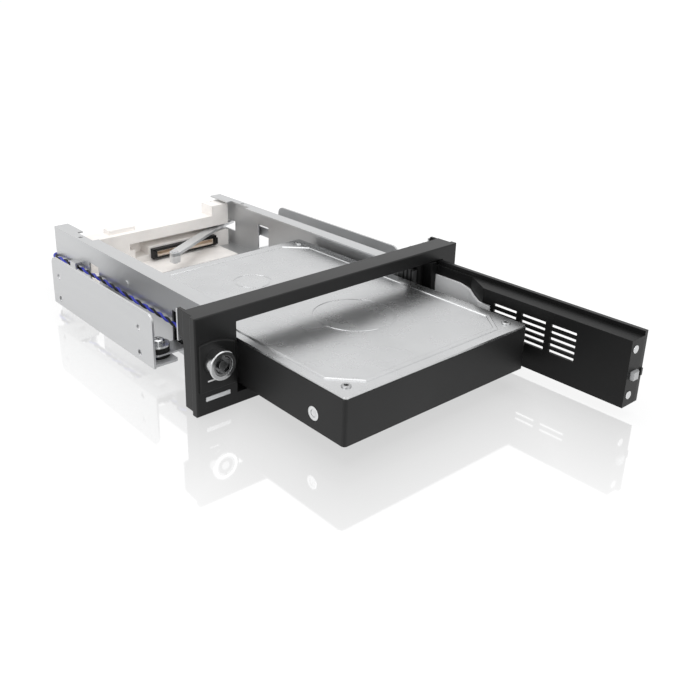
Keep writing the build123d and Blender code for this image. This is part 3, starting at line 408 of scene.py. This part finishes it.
def add_screw_sockets():
    """Dark bottoms in the sockets of the lid's screws."""
    dark = plastic("socket_shadow", 0.004, 0.5, gloss=0.15)
    low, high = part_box("lid_screws")
    places = [(Vector((x, y, low[2] + SOCKET_FLOOR)), (0, 0, 1))
              for x in (low[0] + SCREW_HEAD_RADIUS, high[0] - SCREW_HEAD_RADIUS)
              for y in (low[1] + SCREW_HEAD_RADIUS, high[1] - SCREW_HEAD_RADIUS)]
    verts, faces = turned_set(SOCKET_PROFILE, places, SOCKET_SIDES)
    add_piece("screw_sockets", verts, faces, dark, "drive")


# The dash under the lock, mm: the middles of its round ends, and its half height
MARK_LEFT = -69.5
MARK_RIGHT = -65.4
MARK_Z = 15.0
MARK_HALF = 0.35
MARK_PROUD = 0.05
MARK_SUNK = 0.1
MARK_STEPS = 8
PANEL_FACE_Y = -6.0


def add_lock_mark():
    """Small white dash under the lock, printed on the raised panel."""
    outline = []
    for middle, first in ((MARK_RIGHT, -90), (MARK_LEFT, 90)):
        for step in range(MARK_STEPS + 1):
            turn = math.radians(first + 180 * step / MARK_STEPS)
            outline.append((middle + MARK_HALF * math.cos(turn), MARK_Z + MARK_HALF * math.sin(turn)))
    count = len(outline)
    verts = [Vector((x, PANEL_FACE_Y - MARK_PROUD, z)) * MM for x, z in outline]
    verts += [Vector((x, PANEL_FACE_Y + MARK_SUNK, z)) * MM for x, z in outline]
    faces = [tuple(range(count)), tuple(range(2 * count - 1, count - 1, -1))]
    for place in range(count):
        after = (place + 1) % count
        faces.append((place, place + count, after + count, after))
    white = plastic("mark_white", 0.85, 0.4, tint=0.0)
    add_piece("lock_mark", verts, faces, white, "rack")


def area_light(name, location, target, size, power):
    """Soft lamp that faces a point: places and size in metres, power in watts."""
    data = bpy.data.lights.new(name, "AREA")
    data.shape = "RECTANGLE"
    data.size, data.size_y = size
    data.energy = power
    lamp = bpy.data.objects.new(name, data)
    bpy.context.scene.collection.objects.link(lamp)
    lamp.location = location
    direction = Vector(target) - Vector(location)
    lamp.rotation_euler = direction.to_track_quat("-Z", "Y").to_euler()


def add_lights():
    """Plain soft studio light from above, left and front."""
    area_light("top_lamp", (0.0, 0.15, 0.9), (0, 0.04, 0), (1.0, 1.0), 4.5)
    area_light("left_lamp", (-0.9, -0.1, 0.5), (0, 0.03, 0.02), (0.7, 0.7), 3.0)
    area_light("front_lamp", (0.1, -0.9, 0.5), (0, 0.0, 0.02), (0.9, 0.5), 2.2)


def math_step(tree, operation, first, second):
    """One operation on two values."""
    node = tree.nodes.new("ShaderNodeMath")
    node.operation = operation
    tree.links.new(first, node.inputs[0])
    tree.links.new(second, node.inputs[1])
    return node.outputs[0]


def seen_directly(tree):
    """1 for camera, glossy and transmission rays, else 0."""
    path = tree.nodes.new("ShaderNodeLightPath").outputs
    seen = math_step(tree, "MAXIMUM", path["Is Camera Ray"], path["Is Glossy Ray"])
    return math_step(tree, "MAXIMUM", seen, path["Is Transmission Ray"])


WORLD_LIGHT = 0.58


def add_world():
    """White surroundings that light the object gently."""
    world = bpy.data.worlds.new("world")
    bpy.context.scene.world = world
    world.use_nodes = True
    tree = world.node_tree
    background = tree.nodes["Background"]
    strength = tree.nodes.new("ShaderNodeMapRange")
    strength.inputs["To Min"].default_value = WORLD_LIGHT
    strength.inputs["To Max"].default_value = 1.0
    tree.links.new(seen_directly(tree), strength.inputs["Value"])
    tree.links.new(strength.outputs["Result"], background.inputs["Strength"])
    background.inputs["Color"].default_value = (1, 1, 1, 1)


FLOOR_SIZE = 8.0
FLOOR_MIRROR = 0.34
MIRROR_FADE = 0.115
FLOOR_GLOW = 1.15
GLOW_SHARE = 0.8
MIRROR_ROUGHNESS = 0.05
# Middle and half size in metres of what stands over the floor: bezel, drive, door and cage
FOOTPRINTS = [((0.0, 0.0), (0.0747, 0.0075)), ((-0.0026, 0.0068), (0.0508, 0.0735)),
              ((0.0595, -0.0505), (0.0055, 0.0585)), ((0.0, 0.087), (0.073, 0.078))]


def vector_step(tree, operation, source, values):
    """One vector operation with a fixed second operand."""
    node = tree.nodes.new("ShaderNodeVectorMath")
    node.operation = operation
    tree.links.new(source, node.inputs[0])
    node.inputs[1].default_value = values
    return node.outputs["Vector"]


def mirror_share(tree, low):
    """Strength of the floor's mirror image, which fades with the distance from the object's footprint."""
    place = tree.nodes.new("ShaderNodeTexCoord").outputs["Object"]
    nearest = None
    for (x, y), (half_x, half_y) in FOOTPRINTS:
        away = vector_step(tree, "SUBTRACT", place, (x, y, low))
        away = vector_step(tree, "ABSOLUTE", away, (0, 0, 0))
        away = vector_step(tree, "SUBTRACT", away, (half_x, half_y, 0))
        away = vector_step(tree, "MAXIMUM", away, (0, 0, 0))
        length = tree.nodes.new("ShaderNodeVectorMath")
        length.operation = "LENGTH"
        tree.links.new(away, length.inputs[0])
        distance = length.outputs["Value"]
        nearest = math_step(tree, "MINIMUM", nearest, distance) if nearest else distance
    fade = tree.nodes.new("ShaderNodeMapRange")
    fade.inputs["From Max"].default_value = MIRROR_FADE
    fade.inputs["To Min"].default_value = FLOOR_MIRROR
    fade.inputs["To Max"].default_value = 0.0
    tree.links.new(nearest, fade.inputs["Value"])
    return fade.outputs["Result"]


def add_floor():
    """White floor with a mirror image of the object that fades away from it."""
    low = cad_box[0][2]
    half = FLOOR_SIZE / 2
    corners = [(-half, -half, low), (half, -half, low), (half, half, low), (-half, half, low)]
    mesh = bpy.data.meshes.new("floor")
    mesh.from_pydata(corners, [], [(0, 1, 2, 3)])
    floor = bpy.data.objects.new("floor", mesh)
    bpy.context.scene.collection.objects.link(floor)
    material = bpy.data.materials.new("floor_white")
    material.use_nodes = True
    tree = material.node_tree
    tree.nodes.remove(tree.nodes["Principled BSDF"])
    output = tree.nodes["Material Output"]
    diffuse = tree.nodes.new("ShaderNodeBsdfDiffuse")
    diffuse.inputs["Color"].default_value = (0.9, 0.9, 0.9, 1)
    glow = tree.nodes.new("ShaderNodeEmission")
    glow.inputs["Strength"].default_value = FLOOR_GLOW
    lit = tree.nodes.new("ShaderNodeMixShader")
    lit.inputs["Fac"].default_value = GLOW_SHARE
    tree.links.new(diffuse.outputs[0], lit.inputs[1])
    tree.links.new(glow.outputs[0], lit.inputs[2])
    gloss = tree.nodes.new("ShaderNodeBsdfGlossy")
    gloss.inputs["Roughness"].default_value = MIRROR_ROUGHNESS
    mirror = tree.nodes.new("ShaderNodeMixShader")
    tree.links.new(mirror_share(tree, low), mirror.inputs["Fac"])
    tree.links.new(lit.outputs[0], mirror.inputs[1])
    tree.links.new(gloss.outputs[0], mirror.inputs[2])
    plain = tree.nodes.new("ShaderNodeMixShader")
    tree.links.new(seen_directly(tree), plain.inputs["Fac"])
    tree.links.new(diffuse.outputs[0], plain.inputs[1])
    tree.links.new(mirror.outputs[0], plain.inputs[2])
    tree.links.new(plain.outputs[0], output.inputs["Surface"])
    mesh.materials.append(material)


add_camera()
add_wires()
add_hole_rings()
add_screw_sockets()
add_lock_mark()
add_world()
add_floor()
add_lights()
dress_all()
bpy.context.scene.view_settings.view_transform = "Standard"
